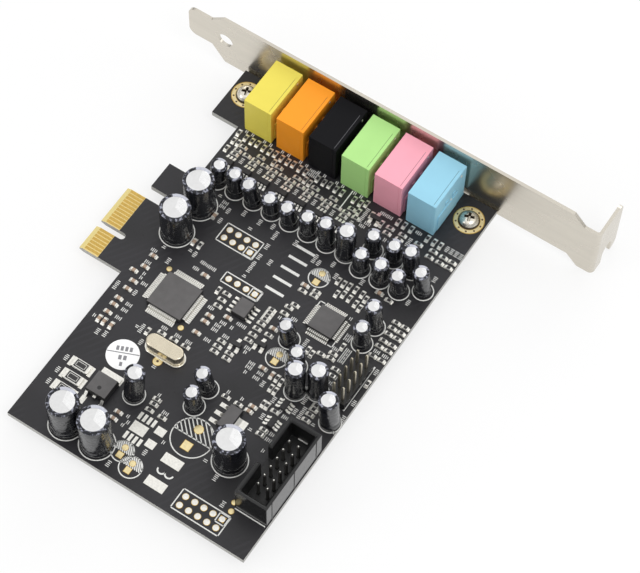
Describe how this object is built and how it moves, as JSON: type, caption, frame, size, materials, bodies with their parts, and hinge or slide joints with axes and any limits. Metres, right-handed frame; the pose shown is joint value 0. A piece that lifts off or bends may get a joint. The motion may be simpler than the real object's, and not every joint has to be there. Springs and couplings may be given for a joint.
{
  "type": "sound card",
  "caption": "Black sound card with a keyed gold edge tab, a row of coloured audio jacks behind a full-height steel bracket, radial capacitors, chips and pin headers.",
  "frame": {"origin": "where the key slot's centre line meets the outer end of the edge tab, at mid board thickness", "axes": "+X from the slot to the card's free edge, +Y towards the rear bracket, +Z out of the component side"},
  "size_m": [0.1203, 0.1231, 0.0216],
  "materials": {
    "solder_mask": "black solder mask on glass-fibre board",
    "gold": "gold plated contact",
    "bracket_steel": "satin plated sheet steel",
    "screw_steel": "plated screw",
    "tinned_metal": "tinned lead",
    "capacitor_sleeve": "black shrink sleeve with a silver end",
    "chip_epoxy": "moulded chip body",
    "crystal_metal": "drawn steel can",
    "header_plastic": "moulded header",
    "resistor_film": "glazed resistor body",
    "chip_ceramic": "chip part with tinned ends",
    "yellow_plastic": "moulded jack housing",
    "orange_plastic": "moulded jack housing",
    "black_plastic": "moulded jack housing",
    "green_plastic": "moulded jack housing",
    "pink_plastic": "moulded jack housing",
    "blue_plastic": "moulded jack housing"
  },
  "bodies": {
    "root": {"circuit_board": "solder_mask", "edge_contacts": "gold", "bracket": "bracket_steel", "bracket_screws": "screw_steel", "jack_contacts": "tinned_metal", "large_capacitors": "capacitor_sleeve", "medium_capacitors": "capacitor_sleeve", "small_capacitors": "capacitor_sleeve", "main_chip": "chip_epoxy", "codec_chip": "chip_epoxy", "memory_chip": "chip_epoxy", "memory_chip_leads": "tinned_metal", "mute_packs": "chip_epoxy", "transistors": "chip_epoxy", "regulator": "chip_epoxy", "regulator_tab": "tinned_metal", "regulator_legs": "tinned_metal", "small_regulator": "chip_epoxy", "small_regulator_leads": "tinned_metal", "crystal_base": "crystal_metal", "crystal_can": "crystal_metal", "box_header_shroud": "header_plastic", "box_header_pins": "tinned_metal", "pin_header_base": "header_plastic", "pin_header_pins": "tinned_metal", "power_resistors": "resistor_film", "power_resistor_terminals": "tinned_metal", "channel_chips": "chip_ceramic", "edge_chips": "chip_ceramic", "yellow_jack": "yellow_plastic", "yellow_jack_cover": "yellow_plastic", "orange_jack": "orange_plastic", "orange_jack_cover": "orange_plastic", "black_jack": "black_plastic", "black_jack_cover": "black_plastic", "green_jack": "green_plastic", "green_jack_cover": "green_plastic", "pink_jack": "pink_plastic", "pink_jack_cover": "pink_plastic", "blue_jack": "blue_plastic", "blue_jack_cover": "blue_plastic"}
  },
  "joints": []
}
